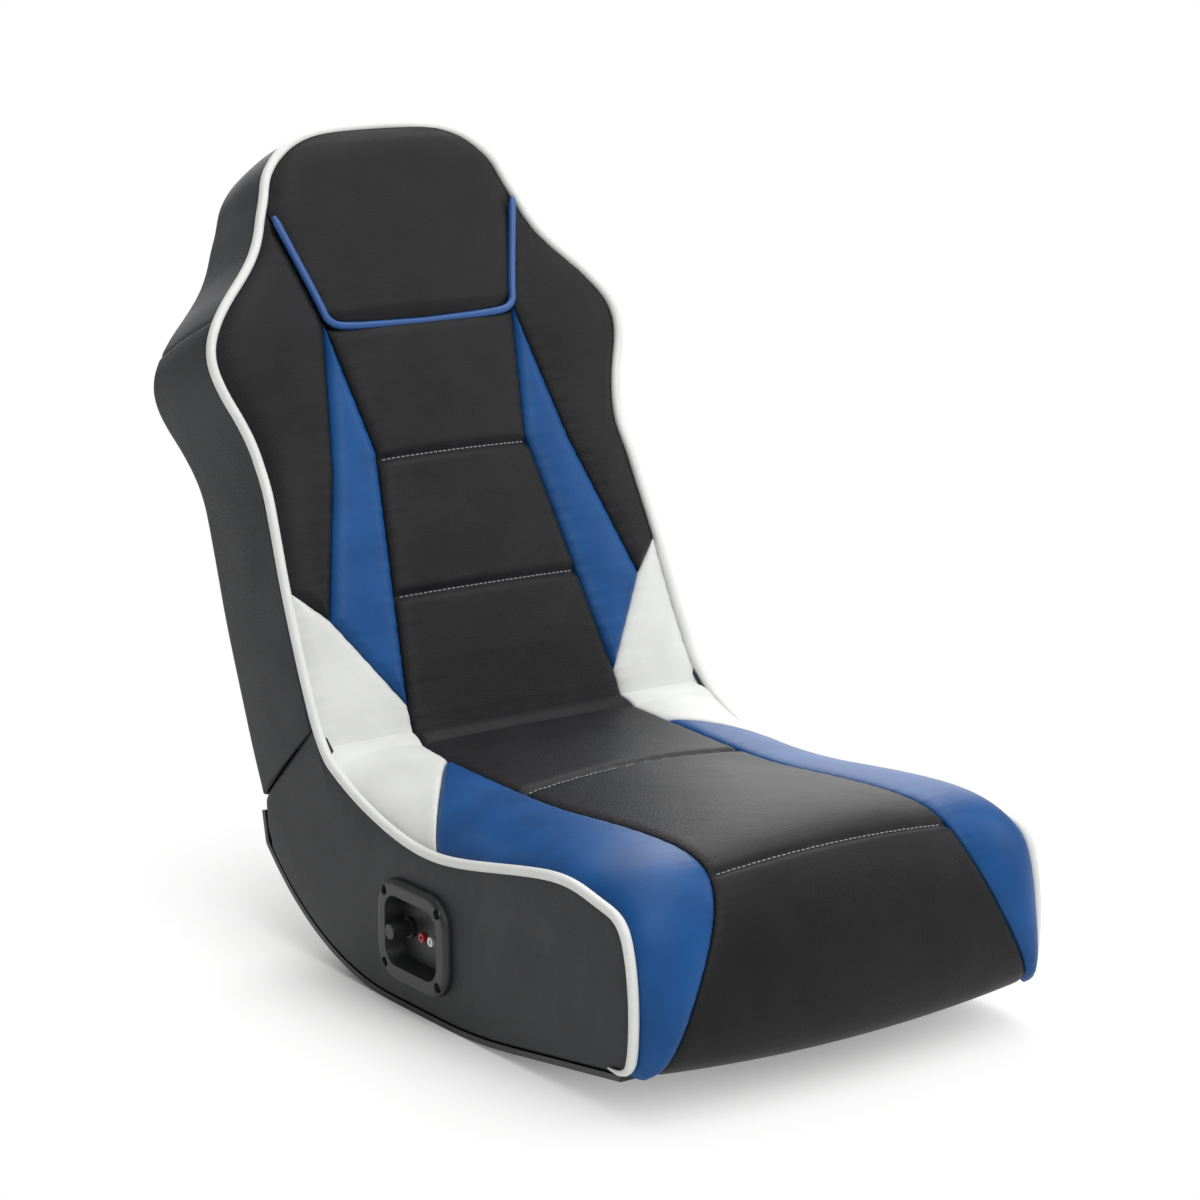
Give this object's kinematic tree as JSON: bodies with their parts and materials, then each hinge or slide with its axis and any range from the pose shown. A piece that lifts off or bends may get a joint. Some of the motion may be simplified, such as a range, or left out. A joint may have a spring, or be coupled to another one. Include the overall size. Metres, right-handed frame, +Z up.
{
  "type": "gaming rocker chair",
  "caption": "Padded floor rocker chair with a backrest that folds forward on to the seat, and a line-in and volume panel on one side.",
  "frame": {"origin": "centre of the bounding box, on the floor", "axes": "+X to the sitter's left, +Y to the rear of the chair, +Z up"},
  "size_m": [0.4524, 0.785, 0.708],
  "materials": {
    "black_leather": "matte grained black imitation leather",
    "black_plastic": "moulded black plastic, fine grain",
    "blue_leather": "smooth mid-blue imitation leather",
    "blue_piping": "blue vinyl-covered cord",
    "board_plastic": "green circuit board",
    "cone_plastic": "black pressed cone",
    "edge_plastic": "hard black plastic strip",
    "hardboard": "brown hardboard",
    "hinge_steel": "zinc-plated steel",
    "magnet_steel": "dark magnet steel",
    "plywood": "sawn birch plywood",
    "rear_fabric": "black cloth-backed rear cover",
    "red_plastic": "red moulded socket",
    "speaker_steel": "pressed steel",
    "white_leather": "smooth white imitation leather",
    "white_piping": "white vinyl-covered cord",
    "white_plastic": "white moulded socket"
  },
  "bodies": {
    "seat": {"amplifier_board": "board_plastic", "base_board": "hardboard", "control_housing": "black_plastic", "hinge_pin_left": "hinge_steel", "hinge_pin_right": "hinge_steel", "hinge_seat_leaf_left": "hinge_steel", "hinge_seat_leaf_right": "hinge_steel", "line_jack_red": "red_plastic", "line_jack_white": "white_plastic", "panel_screws": "hinge_steel", "rocker_strip_left": "edge_plastic", "rocker_strip_right": "edge_plastic", "seat_blue_pad_left": "blue_leather", "seat_blue_pad_right": "blue_leather", "seat_centre_pad": "black_leather", "seat_deck": "plywood", "seat_front_rail": "plywood", "seat_middle_rail": "plywood", "seat_piping_left": "white_piping", "seat_piping_right": "white_piping", "seat_rear_board": "plywood", "seat_side_cover_left": "black_leather", "seat_side_cover_right": "black_leather", "seat_side_frame_left": "plywood", "seat_side_frame_right": "plywood", "seat_white_pad_left": "white_leather", "seat_white_pad_right": "white_leather", "volume_potentiometer": "black_plastic"},
    "backrest": {"back_blue_pad_left": "blue_leather", "back_blue_pad_right": "blue_leather", "back_board": "plywood", "back_bottom_rail": "plywood", "back_centre_pad": "black_leather", "back_head_cover": "black_leather", "back_middle_rail": "plywood", "back_outer_pad_left": "black_leather", "back_outer_pad_right": "black_leather", "back_piping": "white_piping", "back_rear_cover": "rear_fabric", "back_side_cover_left": "black_leather", "back_side_cover_right": "black_leather", "back_side_strip_left": "hardboard", "back_side_strip_right": "hardboard", "back_top_rail": "plywood", "back_white_pad_left": "white_leather", "back_white_pad_right": "white_leather", "headrest_pad": "black_leather", "headrest_piping": "blue_piping", "hinge_back_leaf_left": "hinge_steel", "hinge_back_leaf_right": "hinge_steel", "speaker_basket_left": "speaker_steel", "speaker_basket_right": "speaker_steel", "speaker_cone_left": "cone_plastic", "speaker_cone_right": "cone_plastic", "speaker_magnet_left": "magnet_steel", "speaker_magnet_right": "magnet_steel"},
    "volume_knob": {"volume_knob": "black_plastic"}
  },
  "joints": [
    {"name": "back_fold", "type": "hinge", "parent": "seat", "child": "backrest", "pos_m": [0, 0.06833, 0.19489], "axis": [1, 0, 0], "range_deg": [0, 108]},
    {"name": "volume_turn", "type": "hinge", "parent": "seat", "child": "volume_knob", "pos_m": [-0.2, -0.0552, 0.071], "axis": [1, 0, 0], "range_deg": [-150, 150]}
  ]
}
